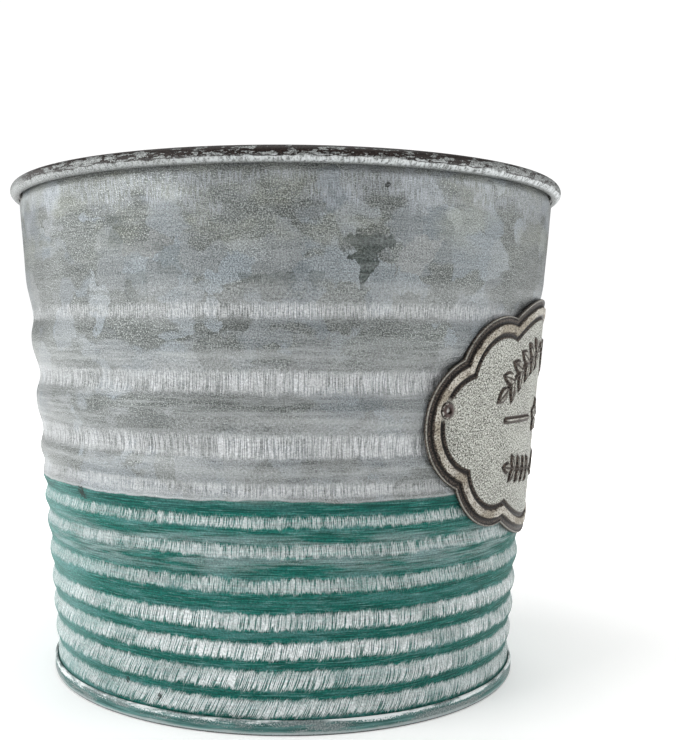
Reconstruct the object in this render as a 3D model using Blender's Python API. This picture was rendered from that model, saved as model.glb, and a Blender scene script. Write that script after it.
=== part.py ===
"""Ribbed galvanised florist bucket with a riveted, embossed plaque.

The bucket stands on the floor at z = 0 with its axis on +Z. The plaque faces -Y and the side
lock seam of the wall sheet faces +Y. Run it with: blender --background --python part.py
"""

import math

import bmesh
import bpy
from mathutils import Matrix, Vector

MM = 0.001

# Overall size
RIM_RADIUS = 100.0 * MM
HEIGHT = 172.0 * MM
FOOT_RADIUS = 82.8 * MM
TAPER = 0.0845
SHEET = 0.45 * MM
GAP = 0.3 * MM
SEGMENTS = 44

# Each rolled groove of the wall: where it starts, its deepest height, where it ends, its depth
GROOVES = [
    (139.0 * MM, 125.8 * MM, 118.2 * MM, 1.25 * MM),
    (117.0 * MM, 105.6 * MM, 97.8 * MM, 1.95 * MM),
    (95.2 * MM, 86.3 * MM, 79.3 * MM, 1.40 * MM),
    (79.3 * MM, 75.0 * MM, 70.3 * MM, 0.80 * MM),
    (70.3 * MM, 66.2 * MM, 62.0 * MM, 1.10 * MM),
    (62.0 * MM, 57.4 * MM, 53.2 * MM, 1.10 * MM),
    (53.2 * MM, 47.4 * MM, 42.8 * MM, 1.10 * MM),
    (42.8 * MM, 37.4 * MM, 32.8 * MM, 1.10 * MM),
    (32.8 * MM, 28.1 * MM, 23.8 * MM, 1.10 * MM),
    (23.8 * MM, 19.2 * MM, 14.9 * MM, 1.05 * MM),
    (14.9 * MM, 10.4 * MM, 6.4 * MM, 0.90 * MM),
]
FLANK_STEP = 5.0 * MM

# Rolled rim, a curl of sheet round a stiffening wire
BEAD_RADIUS = 2.45 * MM
CURL_START = math.radians(205.0)
CURL_END = math.radians(-100.0)
CURL_STEPS = 10
BEND_BELOW_BEAD = 4.6 * MM
WIRE_SIDES = 8

# Double seam that joins the bottom to the wall
HOOK_TURN = 0.375 * MM
HOOK_FLOOR = 1.45 * MM
HOOK_TOP = 4.0 * MM
LIP_TOP = 4.7 * MM
LIP_BEND = 0.5 * MM
FLOOR_HEIGHT = 4.0 * MM
SKIRT_BEND = 1.5 * MM
SEAL_WIDTH = 1.9 * MM
SEAL_HEIGHT = 2.5 * MM
SEAL_HOLLOW = 0.35

# Side lock seam, a folded strip proud of the wall sheet
LOCK_PROUD = 0.7 * MM
LOCK_ANGLE = math.radians(90.0)
LOCK_HALF_WIDTH = math.radians(1.7)
LOCK_FLANK = math.radians(0.4)
LOCK_LOW = 9.0 * MM
LOCK_HIGH = 163.0 * MM

# Plaque: outline notches and how far each lobe bulges, measured flat from its centre
PLAQUE_HEIGHT = 92.0 * MM
OUTER_NOTCH = (54.0 * MM, 19.9 * MM)
INNER_NOTCH = (27.8 * MM, 33.1 * MM)
SIDE_BULGE = 13.5 * MM
CORNER_BULGE = 5.4 * MM
CENTRE_BULGE = 7.2 * MM
SIDE_STEPS = 10
CORNER_STEPS = 5
CENTRE_STEPS = 12
PANEL_THICK = 0.7 * MM
BORDER_THICK = 1.3 * MM
EDGE_THICK = 0.6 * MM
BORDER_OUTER = 2.6 * MM
BORDER_INNER = 5.4 * MM
PANEL_EDGE = 6.6 * MM
PANEL_RINGS = 7

# Blind rivets at the two ends of the plaque
RIVET_ANGLE = math.radians(37.7)
RIVET_HEIGHT = 96.5 * MM
RIVET_SIDES = 16
SHANK_RADIUS = 1.5 * MM
BORE_RADIUS = 1.0 * MM
HEAD_RADIUS = 2.4 * MM
HEAD_THICK = 0.9 * MM
HEAD_EDGE = 0.3
DOME_ANGLES = [math.radians(angle) for angle in (0.0, 25.0, 50.0)]
HEAD_SEAT = 2.0 * GAP + PANEL_THICK
UPSET_RADIUS = 2.1 * MM
UPSET_LENGTH = 1.9 * MM
UPSET_PROFILE = [(0.8, 1.0), (1.0, 0.6), (0.9, 0.0)]
STEM_RADIUS = 0.7 * MM
STEM_RECESS = 0.6 * MM
BALL_RADIUS = 1.3 * MM
BALL_PROFILE = [(0.0, 1.0), (0.7, 0.8), (1.0, 0.3), (0.9, 0.0)]
HOLE_RADIUS = SHANK_RADIUS + GAP
HOLE_REACH = 6.0 * MM
SEAT_CUT_RADIUS = HEAD_RADIUS + GAP
SEAT_CUT_FLOOR = HEAD_SEAT - GAP * 0.9


def clear_scene():
    for item in list(bpy.data.objects):
        bpy.data.objects.remove(item, do_unlink=True)


def make_material(name, colour, roughness, metallic):
    material = bpy.data.materials.new(name)
    material.use_nodes = True
    shader = material.node_tree.nodes["Principled BSDF"]
    shader.inputs["Base Color"].default_value = (*colour, 1.0)
    shader.inputs["Roughness"].default_value = roughness
    shader.inputs["Metallic"].default_value = metallic
    return material


def add_object(name, bm, material):
    """Closes the bmesh into a named, smooth-shaded object with its faces pointing out."""
    bmesh.ops.recalc_face_normals(bm, faces=bm.faces[:])
    mesh = bpy.data.meshes.new(name)
    bm.to_mesh(mesh)
    bm.free()
    mesh.shade_smooth()
    mesh.set_sharp_from_angle(angle=math.radians(35.0))
    mesh.materials.append(material)
    item = bpy.data.objects.new(name, mesh)
    bpy.context.collection.objects.link(item)
    return item


def crest_radius(z):
    """Outer radius of the tapered wall along the crests of its ribs."""
    return FOOT_RADIUS + TAPER * z


def groove_depth(z):
    """How far the wall lies inside its crest cone at a height."""
    for start, deep, end, depth in GROOVES:
        if end < z < start:
            flank = start - deep if z > deep else deep - end
            return depth * 0.5 * (1.0 + math.cos(math.pi * (z - deep) / flank))
    return 0.0


def arc(centre, radius, start, end, steps):
    """Points along a circular arc in the (radius, height) plane, both ends included."""
    points = []
    for step in range(steps + 1):
        angle = start + (end - start) * step / steps
        points.append((centre[0] + radius * math.cos(angle), centre[1] + radius * math.sin(angle)))
    return points


def sheet_section(path, thickness):
    """Closed outline of a strip of sheet whose middle follows the path."""
    left, right = [], []
    count = len(path)
    for index, point in enumerate(path):
        before = Vector(path[max(index - 1, 0)])
        here = Vector(point)
        after = Vector(path[min(index + 1, count - 1)])
        into = (here - before).normalized() if index else (after - here).normalized()
        out = (after - here).normalized() if index < count - 1 else into
        along = (into + out).normalized()
        side = Vector((-along.y, along.x)) * (thickness * 0.5 / max(along.dot(into), 0.5))
        left.append(tuple(here + side))
        right.append(tuple(here - side))
    return left + right[::-1]


def round_columns():
    """Angles shared by every turned piece, with extra ones at the two sides of the lock seam."""
    angles = [2.0 * math.pi * step / SEGMENTS for step in range(SEGMENTS)]
    for reach in (LOCK_HALF_WIDTH, LOCK_HALF_WIDTH + LOCK_FLANK):
        angles += [LOCK_ANGLE - reach, LOCK_ANGLE + reach]
    return sorted(angles)


def turn(section, swell=None):
    """Turns a closed section round the axis; points on the axis become single vertices."""
    bm = bmesh.new()
    columns = []
    axis_points = {}
    for angle in round_columns():
        column = []
        for index, (radius, z) in enumerate(section):
            if radius == 0.0:
                if index not in axis_points:
                    axis_points[index] = bm.verts.new((0.0, 0.0, z))
                column.append(axis_points[index])
                continue
            reach = radius + (swell(index, angle, z) if swell else 0.0)
            column.append(bm.verts.new((reach * math.cos(angle), reach * math.sin(angle), z)))
        columns.append(column)
    for index, column in enumerate(columns):
        beside = columns[(index + 1) % len(columns)]
        for low in range(len(section)):
            high = (low + 1) % len(section)
            corners = [column[low], beside[low], beside[high], column[high]]
            corners = [v for i, v in enumerate(corners) if v not in corners[:i]]
            if len(corners) > 2:
                bm.faces.new(corners)
    return bm


def wall_heights():
    """Heights of the wall's profile points, from the foot up, closer on steep flanks."""
    heights = [HOOK_FLOOR]
    for start, deep, end, _ in reversed(GROOVES):
        for low, high in ((end, deep), (deep, start)):
            steps = max(1, round((high - low) / FLANK_STEP))
            heights += [low + (high - low) * step / steps for step in range(steps + 1)]
    heights.append(HEIGHT - BEAD_RADIUS - BEND_BELOW_BEAD)
    return sorted(set(round(height, 7) for height in heights))


def wall_middle(z):
    return crest_radius(z) - groove_depth(z) - SHEET * 0.5


def bead_centre():
    return (RIM_RADIUS - BEAD_RADIUS, HEIGHT - BEAD_RADIUS)


def hook_middle():
    """Radius of the turned-out hook at the wall's foot."""
    return wall_middle(HOOK_FLOOR) + 2.0 * HOOK_TURN


def build_wall(material):
    """One ribbed sheet: turned-out foot hook, tapered ribbed wall, rolled rim and lock seam."""
    turn_centre = (hook_middle() - HOOK_TURN, HOOK_FLOOR)
    path = [(hook_middle(), HOOK_TOP)]
    path += arc(turn_centre, HOOK_TURN, 0.0, -math.pi, 4)
    path += [(wall_middle(z), z) for z in wall_heights()[1:]]
    path += arc(bead_centre(), BEAD_RADIUS - SHEET * 0.5, CURL_START, CURL_END, CURL_STEPS)
    section = sheet_section(path, SHEET)

    def lock_seam(index, angle, z):
        outer_side = index >= len(path)
        if outer_side and LOCK_LOW < z < LOCK_HIGH and abs(angle - LOCK_ANGLE) < LOCK_HALF_WIDTH * 1.01:
            return LOCK_PROUD
        return 0.0

    wall = add_object("bucket_wall", turn(section, lock_seam), material)
    for sign in (-1, 1):
        cut_round(wall, sign, "hole", HOLE_RADIUS, -HOLE_REACH, HOLE_REACH)
    return wall


def build_rim_wire(material):
    """Stiffening wire held inside the rolled rim."""
    radius = BEAD_RADIUS - SHEET - GAP
    section = arc(bead_centre(), radius, 0.0, 2.0 * math.pi, WIRE_SIDES)[:-1]
    return add_object("rim_wire", turn(section), material)


def skirt_middle():
    """Radius of the bottom's turned-down skirt, just inside the wall's foot."""
    return hook_middle() - 2.0 * HOOK_TURN - SHEET - GAP


def build_bottom(material):
    """Round pan whose edge turns down, under the wall's hook and up round it as the foot seam."""
    skirt = skirt_middle()
    lip = hook_middle() + SHEET + GAP
    low = SHEET * 0.5
    path = [(0.0, FLOOR_HEIGHT), (skirt * 0.5, FLOOR_HEIGHT)]
    path += arc((skirt - SKIRT_BEND, FLOOR_HEIGHT - SKIRT_BEND), SKIRT_BEND, math.pi * 0.5, 0.0, 3)
    path += arc((skirt + LIP_BEND, low + LIP_BEND), LIP_BEND, math.pi, math.pi * 1.5, 2)
    path += arc((lip - LIP_BEND, low + LIP_BEND), LIP_BEND, -math.pi * 0.5, 0.0, 3)
    path += arc((lip - LIP_BEND, LIP_TOP - LIP_BEND), LIP_BEND, 0.0, math.pi * 0.5, 3)
    section = sheet_section(path, SHEET)
    section[0] = (0.0, FLOOR_HEIGHT + low)
    section[-1] = (0.0, FLOOR_HEIGHT - low)
    return add_object("bucket_bottom", turn(section), material)


def build_seal(material):
    """Fillet of sealing compound in the corner between the pan and the wall."""
    low = FLOOR_HEIGHT + SHEET * 0.5 + GAP
    outer = wall_middle(low + SEAL_HEIGHT) - SHEET * 0.5 - GAP
    section = [
        (outer, low),
        (outer, low + SEAL_HEIGHT),
        (outer - SEAL_WIDTH * SEAL_HOLLOW, low + SEAL_HEIGHT * SEAL_HOLLOW),
        (outer - SEAL_WIDTH, low),
    ]
    return add_object("seam_sealant", turn(section), material)


def circle_through(start, end, bulge):
    """Centre and radius of the arc from start to end that bulges out to the left of the chord."""
    chord = Vector(end) - Vector(start)
    middle = (Vector(start) + Vector(end)) * 0.5
    half = chord.length * 0.5
    radius = (half * half + bulge * bulge) / (2.0 * bulge)
    left = Vector((-chord.y, chord.x)).normalized()
    return middle + left * (bulge - radius), radius


def meeting_point(first, second, near):
    """The point where two circles cross that lies nearest a given point."""
    (centre_a, radius_a), (centre_b, radius_b) = first, second
    line = centre_b - centre_a
    along = (line.length_squared + radius_a ** 2 - radius_b ** 2) / (2.0 * line.length)
    across = math.sqrt(max(radius_a ** 2 - along ** 2, 0.0))
    foot = centre_a + line.normalized() * along
    side = Vector((-line.y, line.x)).normalized() * across
    return min((foot + side, foot - side), key=lambda point: (point - Vector(near)).length)


def plaque_notches():
    """The eight notches of the outline, clockwise from the upper left."""
    (wide, low), (narrow, high) = OUTER_NOTCH, INNER_NOTCH
    return [
        (-wide, low), (-narrow, high), (narrow, high), (wide, low),
        (wide, -low), (narrow, -high), (-narrow, -high), (-wide, -low),
    ]


def plaque_outline(inset):
    """The eight-lobed outline, moved inwards by an inset, as flat points."""
    notches = plaque_notches()
    bulges = [CORNER_BULGE, CENTRE_BULGE, CORNER_BULGE, SIDE_BULGE] * 2
    counts = [CORNER_STEPS, CENTRE_STEPS, CORNER_STEPS, SIDE_STEPS] * 2
    circles = []
    for index, bulge in enumerate(bulges):
        centre, radius = circle_through(notches[index], notches[(index + 1) % 8], bulge)
        circles.append((centre, radius - inset))
    corners = [meeting_point(circles[i - 1], circles[i], notches[i]) for i in range(8)]
    points = []
    for index, (centre, radius) in enumerate(circles):
        start = corners[index] - centre
        end = corners[(index + 1) % 8] - centre
        first = math.atan2(start.y, start.x)
        sweep = (math.atan2(end.y, end.x) - first + math.pi) % (2.0 * math.pi) - math.pi
        for step in range(counts[index]):
            angle = first + sweep * step / counts[index]
            points.append((centre.x + radius * math.cos(angle), centre.y + radius * math.sin(angle)))
    return points


def on_wall(across, up, proud):
    """A flat plaque point wrapped on to the crest cone, standing proud of it."""
    angle = across / crest_radius(PLAQUE_HEIGHT)
    z = PLAQUE_HEIGHT + up
    radius = crest_radius(z) + GAP + proud
    return (radius * math.sin(angle), -radius * math.cos(angle), z)


def build_plaque(material):
    """Embossed plate: thin edge, raised border all round and a level panel."""
    bm = bmesh.new()
    panel = plaque_outline(PANEL_EDGE)
    outer = plaque_outline(0.0)

    def ring(points, proud, share=1.0):
        return [bm.verts.new(on_wall(x * share, y * share, proud)) for x, y in points]

    def shrinking(points, proud):
        shares = [1.0 - step / PANEL_RINGS for step in range(1, PANEL_RINGS)]
        return [ring(points, proud, share) for share in shares]

    rings = shrinking(outer, 0.0)[::-1]
    rings.append(ring(outer, 0.0))
    rings.append(ring(outer, EDGE_THICK))
    rings.append(ring(plaque_outline(BORDER_OUTER), BORDER_THICK))
    rings.append(ring(plaque_outline(BORDER_INNER), BORDER_THICK))
    rings.append(ring(panel, PANEL_THICK))
    rings += shrinking(panel, PANEL_THICK)
    count = len(outer)
    for inner, beyond in zip(rings, rings[1:]):
        for index in range(count):
            following = (index + 1) % count
            bm.faces.new([inner[index], inner[following], beyond[following], beyond[index]])
    for last, proud in ((rings[0], 0.0), (rings[-1], PANEL_THICK)):
        middle = bm.verts.new(on_wall(0.0, 0.0, proud))
        for index in range(count):
            bm.faces.new([last[index], last[(index + 1) % count], middle])
    plaque = add_object("plaque", bm, material)
    for sign in (-1, 1):
        cut_round(plaque, sign, "seat", SEAT_CUT_RADIUS, SEAT_CUT_FLOOR, HOLE_REACH)
        cut_round(plaque, sign, "hole", HOLE_RADIUS, -HOLE_REACH, HOLE_REACH)
    return plaque


def rivet_frame(sign):
    """Places a rivet's local +Z along the wall's outward normal, with its origin on the crest cone."""
    angle = sign * RIVET_ANGLE
    radius = crest_radius(RIVET_HEIGHT)
    place = Vector((radius * math.sin(angle), -radius * math.cos(angle), RIVET_HEIGHT))
    outward = Vector((math.sin(angle), -math.cos(angle), -TAPER)).normalized()
    return Matrix.Translation(place) @ outward.to_track_quat("Z", "Y").to_matrix().to_4x4()


def spin_profile(name, profile, sign, material):
    """A small turned piece whose profile runs along a rivet's axis."""
    bm = bmesh.new()
    columns = []
    for step in range(RIVET_SIDES):
        angle = 2.0 * math.pi * step / RIVET_SIDES
        columns.append([bm.verts.new((r * math.cos(angle), r * math.sin(angle), z)) for r, z in profile])
    for index, column in enumerate(columns):
        beside = columns[(index + 1) % RIVET_SIDES]
        for low in range(len(profile)):
            high = (low + 1) % len(profile)
            bm.faces.new([column[low], beside[low], beside[high], column[high]])
    bmesh.ops.remove_doubles(bm, verts=bm.verts[:], dist=1e-7)
    bmesh.ops.dissolve_degenerate(bm, edges=bm.edges[:], dist=1e-7)
    piece = add_object(name, bm, material)
    piece.matrix_world = rivet_frame(sign)
    return piece


def build_rivet(side, sign, body_material, stem_material):
    """A set blind rivet: a hollow body with a domed head, and the stem left in its bore."""
    inside = -SHEET - GAP
    tail = inside - UPSET_LENGTH
    face = HEAD_SEAT + HEAD_THICK
    body = [(BORE_RADIUS, tail)]
    body += [(UPSET_RADIUS * wide, inside - UPSET_LENGTH * deep) for wide, deep in UPSET_PROFILE]
    body += [(SHANK_RADIUS, inside), (SHANK_RADIUS, HEAD_SEAT), (HEAD_RADIUS, HEAD_SEAT)]
    for angle in DOME_ANGLES:
        rise = HEAD_EDGE + (1.0 - HEAD_EDGE) * math.sin(angle)
        body.append((HEAD_RADIUS * math.cos(angle), HEAD_SEAT + HEAD_THICK * rise))
    body.append((BORE_RADIUS, face))
    spin_profile("plaque_rivet_" + side, body, sign, body_material)
    ball = tail - GAP
    stem = [(BALL_RADIUS * wide, ball - BALL_RADIUS * deep) for wide, deep in BALL_PROFILE]
    stem += [(STEM_RADIUS, ball), (STEM_RADIUS, face - STEM_RECESS), (0.0, face - STEM_RECESS)]
    spin_profile("rivet_stem_" + side, stem, sign, stem_material)


def cut_round(item, sign, purpose, radius, low, high):
    """Cuts a round recess or hole along a rivet's axis, between two distances from the crest cone."""
    bm = bmesh.new()
    bmesh.ops.create_cone(
        bm, cap_ends=True, segments=RIVET_SIDES, radius1=radius, radius2=radius, depth=high - low
    )
    bmesh.ops.translate(bm, verts=bm.verts[:], vec=(0.0, 0.0, (low + high) * 0.5))
    side = "left" if sign < 0 else "right"
    cutter = add_object(f"{item.name}_{purpose}_{side}", bm, item.data.materials[0])
    cutter.matrix_world = rivet_frame(sign)
    cutter.hide_render = True
    cutter.display_type = "WIRE"
    cut = item.modifiers.new(cutter.name, "BOOLEAN")
    cut.operation = "DIFFERENCE"
    cut.solver = "EXACT"
    cut.object = cutter


def main():
    clear_scene()
    zinc = make_material("galvanised_sheet", (0.42, 0.45, 0.46), 0.55, 0.6)
    teal = make_material("painted_foot", (0.10, 0.27, 0.25), 0.55, 0.2)
    wire = make_material("steel_wire", (0.30, 0.29, 0.28), 0.45, 1.0)
    sealant = make_material("sealing_compound", (0.33, 0.34, 0.33), 0.75, 0.0)
    cream = make_material("plaque_enamel", (0.50, 0.49, 0.44), 0.6, 0.2)
    rivet = make_material("rivet_alloy", (0.16, 0.13, 0.11), 0.5, 0.8)
    stem = make_material("rivet_stem_steel", (0.25, 0.24, 0.23), 0.4, 1.0)
    build_wall(zinc)
    build_rim_wire(wire)
    build_bottom(teal)
    build_seal(sealant)
    build_plaque(cream)
    build_rivet("left", -1, rivet, stem)
    build_rivet("right", 1, rivet, stem)


main()
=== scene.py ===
"""Looks of the ribbed florist bucket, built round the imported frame.

The wall, its rolled rim, the double seam at the foot, the embossed plaque and its rivets are made
as fine meshes where their CAD solids stand. Angles go round the axis from -Y, where the plaque's
middle is, towards +X. Textures are laid out in millimetres round the wall and up it.
"""

import math

import bmesh
import bpy
import numpy as np
from mathutils import Matrix, Vector


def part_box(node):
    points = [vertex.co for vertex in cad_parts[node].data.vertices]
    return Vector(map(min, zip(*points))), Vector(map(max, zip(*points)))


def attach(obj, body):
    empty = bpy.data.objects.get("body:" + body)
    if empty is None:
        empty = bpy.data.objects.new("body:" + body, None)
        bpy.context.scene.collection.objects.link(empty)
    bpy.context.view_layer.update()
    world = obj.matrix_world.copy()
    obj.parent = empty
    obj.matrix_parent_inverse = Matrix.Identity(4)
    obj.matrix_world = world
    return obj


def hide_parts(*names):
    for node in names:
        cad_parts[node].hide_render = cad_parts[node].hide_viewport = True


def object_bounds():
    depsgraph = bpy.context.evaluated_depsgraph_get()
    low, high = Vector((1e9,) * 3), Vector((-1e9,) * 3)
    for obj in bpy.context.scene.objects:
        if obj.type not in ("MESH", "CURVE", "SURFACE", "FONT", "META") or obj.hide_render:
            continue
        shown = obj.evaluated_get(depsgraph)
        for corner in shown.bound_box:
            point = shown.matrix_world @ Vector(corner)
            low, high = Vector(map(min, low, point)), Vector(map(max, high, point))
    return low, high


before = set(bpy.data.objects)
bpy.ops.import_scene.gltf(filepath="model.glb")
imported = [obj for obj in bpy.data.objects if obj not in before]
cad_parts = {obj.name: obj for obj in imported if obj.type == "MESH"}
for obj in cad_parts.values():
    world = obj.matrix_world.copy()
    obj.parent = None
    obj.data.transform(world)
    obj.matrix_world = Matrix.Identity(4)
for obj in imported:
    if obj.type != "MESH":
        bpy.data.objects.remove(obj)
cad_low, cad_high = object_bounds()

MM = 0.001
RNG = np.random.default_rng(21)

# Wall: the cone through its rib crests, and the grooves (start, deepest, end and depth in mm)
CREST_FOOT = 82.8 * MM
TAPER = 0.0845
SHEET = 0.45 * MM
GAP = 0.3 * MM
GROOVES = [tuple(value * MM for value in groove) for groove in (
    (139.0, 125.8, 118.2, 1.25),
    (117.0, 105.6, 97.8, 1.95),
    (95.2, 86.3, 79.3, 1.40),
    (79.3, 75.0, 70.3, 0.80),
    (70.3, 66.2, 62.0, 1.10),
    (62.0, 57.4, 53.2, 1.10),
    (53.2, 47.4, 42.8, 1.10),
    (42.8, 37.4, 32.8, 1.10),
    (32.8, 28.1, 23.8, 1.10),
    (23.8, 19.2, 14.9, 1.05),
    (14.9, 10.4, 6.4, 0.90),
)]
COLUMNS = 480
ROW_STEP = 0.75 * MM
DENT_COUNT = 26

# Rolled rim and the foot's double seam
RIM_RADIUS = cad_high.x
HEIGHT = cad_high.z
BEAD_RADIUS = 2.45 * MM
BEAD_CENTRE = (RIM_RADIUS - BEAD_RADIUS, HEIGHT - BEAD_RADIUS)
BEND_BELOW_BEAD = 4.6 * MM
CURL_START = math.radians(205.0)
CURL_END = math.radians(-100.0)
HOOK_TURN = 0.375 * MM
HOOK_FLOOR = 1.45 * MM
HOOK_TOP = 4.0 * MM
LIP_TOP = 4.7 * MM
LIP_BEND = 0.5 * MM
SKIRT_BEND = 1.5 * MM
FLOOR_HEIGHT = 4.0 * MM
SEAL_WIDTH = 1.9 * MM
SEAL_HEIGHT = 2.5 * MM

# Side lock seam at +Y
LOCK_PROUD = 0.7 * MM
LOCK_HALF_WIDTH = math.radians(1.7)
LOCK_FLANK = math.radians(0.4)
LOCK_LOW = 9.0 * MM
LOCK_HIGH = 163.0 * MM
LOCK_COLUMNS = 24
LOCK_TRACE_DEPTH = 0.2 * MM
LOCK_TRACE_WIDTH = math.radians(0.18)

# Plaque
plaque_low, plaque_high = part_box("plaque")
PLAQUE_HEIGHT = (plaque_low.z + plaque_high.z) / 2
OUTER_NOTCH = (54.0 * MM, 19.9 * MM)
INNER_NOTCH = (27.8 * MM, 33.1 * MM)
SIDE_BULGE = 13.5 * MM
CORNER_BULGE = 5.4 * MM
CENTRE_BULGE = 7.2 * MM
LOBE_STEPS = (110, 190, 110, 200)
RING_STEP = 0.2 * MM
PANEL_START = 7.2 * MM
PANEL_RINGS = 130
PANEL_DEPTH = 30.0 * MM
RIVET_SEAT = 0.62 * MM
RIVET_COLUMNS = 40

# Texture layout: millimetres round the wall for each radian
ROUND = 92.0

# Meshes: corners closer than this are one, and edges sharper than this are creased
WELD = 1e-7
CREASE = math.radians(50.0)


def srgb(red, green, blue):
    """Linear RGBA from display values of 0 to 255."""
    linear = []
    for value in (red, green, blue):
        share = value / 255.0
        linear.append(share / 12.92 if share <= 0.04045 else ((share + 0.055) / 1.055) ** 2.4)
    return (*linear, 1.0)


def smooth(x, low, high):
    """0 below low, 1 above high and an even blend between; low may be the larger."""
    share = np.clip((x - low) / (high - low), 0.0, 1.0)
    return share * share * (3.0 - 2.0 * share)


def peak(x, middle, width):
    """1 at the middle, fading to 0 on both sides."""
    return np.exp(-((x - middle) / width) ** 2)


# ---------------- mesh tools


def add_piece(name, parts, materials, nodes, attributes=None):
    """Makes a mesh object from its parts, rides it on the bucket and lets it stand for its CAD nodes.

    The parts are vertices, faces and each face's place in the list of materials.
    """
    vertices, faces, zones = parts
    mesh = bpy.data.meshes.new(name)
    mesh.from_pydata(vertices.tolist(), [], faces)
    for key, values in (attributes or {}).items():
        mesh.attributes.new(key, "FLOAT", "POINT").data.foreach_set("value", values.astype(np.float32))
    for material in materials:
        mesh.materials.append(material)
    mesh.polygons.foreach_set("material_index", zones)
    bm = bmesh.new()
    bm.from_mesh(mesh)
    bmesh.ops.remove_doubles(bm, verts=bm.verts[:], dist=WELD)
    bmesh.ops.recalc_face_normals(bm, faces=bm.faces[:])
    bm.to_mesh(mesh)
    bm.free()
    mesh.shade_smooth()
    mesh.set_sharp_from_angle(angle=CREASE)
    piece = bpy.data.objects.new(name, mesh)
    bpy.context.scene.collection.objects.link(piece)
    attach(piece, "root")
    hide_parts(*nodes)


def wrap(angle):
    """The same angle between -pi and pi."""
    return (angle + math.pi) % math.tau - math.pi


def circle_points(centre, radius, angles):
    return np.stack([centre[0] + radius * np.cos(angles), centre[1] + radius * np.sin(angles)], 1)


def even_angles(columns):
    return np.linspace(-math.pi, math.pi, columns, endpoint=False)


def arc(centre, radius, start, end, steps):
    """Points along a circular arc in the (radius, height) plane, both ends included."""
    return circle_points(centre, radius, np.linspace(start, end, steps + 1))


def strip(path, thickness):
    """Closed outline of sheet whose middle follows the path: its left side, then its right side back."""
    step = np.diff(path, axis=0)
    step /= np.linalg.norm(step, axis=1, keepdims=True)
    into = np.vstack([step[:1], step])
    out = np.vstack([step, step[-1:]])
    along = into + out
    along /= np.linalg.norm(along, axis=1, keepdims=True)
    reach = thickness * 0.5 / np.maximum((along * into).sum(1), 0.5)
    side = np.stack([-along[:, 1], along[:, 0]], 1) * reach[:, None]
    return np.vstack([path + side, (path - side)[::-1]])


def turn(section, angles, shape=None, tag=None):
    """Vertices and faces of a closed section turned round the axis, and its section index for each face."""
    count, columns = len(section), len(angles)
    angle = np.repeat(angles, count)
    index = np.tile(np.arange(count), columns)
    radius, z = section[index, 0], section[index, 1]
    if shape:
        radius, z = shape(radius, z, angle, index)
    vertices = np.stack([radius * np.sin(angle), -radius * np.cos(angle), z], 1)
    column, low = np.meshgrid(np.arange(columns), np.arange(count), indexing="ij")
    beside, high = (column + 1) % columns, (low + 1) % count
    corners = [column * count + low, beside * count + low, beside * count + high, column * count + high]
    faces = np.stack(corners, -1).reshape(-1, 4)
    zones = np.tile(tag if tag is not None else np.zeros(count, int), columns)
    return vertices, faces.tolist(), zones


def round_angles():
    """Angles round the wall, closer at the lock seam."""
    even = -math.pi + math.tau * np.arange(COLUMNS) / COLUMNS
    reach = LOCK_HALF_WIDTH + LOCK_FLANK
    close = np.linspace(-reach * 1.15, reach * 1.15, LOCK_COLUMNS)
    even = even[np.abs(off_seam(even)) > reach * 1.2]
    return np.sort(np.concatenate([even, wrap(math.pi + close)]))


def off_seam(angle):
    """Signed angle from the lock seam at +Y."""
    return (angle + math.tau) % math.tau - math.pi


# ---------------- materials


class Value:
    """A value or colour in a material; sums and products of values make nodes there."""

    def __init__(self, look, socket):
        self.look, self.socket = look, socket

    def __add__(self, other):
        return self.look.math("ADD", self, other)

    def __radd__(self, other):
        return self.look.math("ADD", other, self)

    def __sub__(self, number):
        return self + -number

    def __mul__(self, other):
        return self.look.math("MULTIPLY", self, other)

    def swing(self, reach):
        """A noise moved to swing either side of zero, with its reach."""
        return (self - 0.5) * reach

    def ramp(self, low, high, start=0.0, end=1.0):
        """Eases from start to end as the value goes from low to high."""
        inputs = dict(enumerate((self, low, high, start, end)))
        return self.look.make("MapRange", inputs, interpolation_type="SMOOTHSTEP")

    def band(self, low, high, soft):
        """1 between low and high, with soft edges."""
        return self.ramp(low - soft, low + soft) * self.ramp(high + soft, high - soft)

    def blend(self, low, high, first, second):
        """From the first colour to the second as the value goes from low to high."""
        return self.look.mix(self.ramp(low, high), first, second)

    def over(self, share, most, paint):
        """Lays paint over this colour: share says where, and most how thickly."""
        return self.look.mix(share * most, self, paint)


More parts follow.
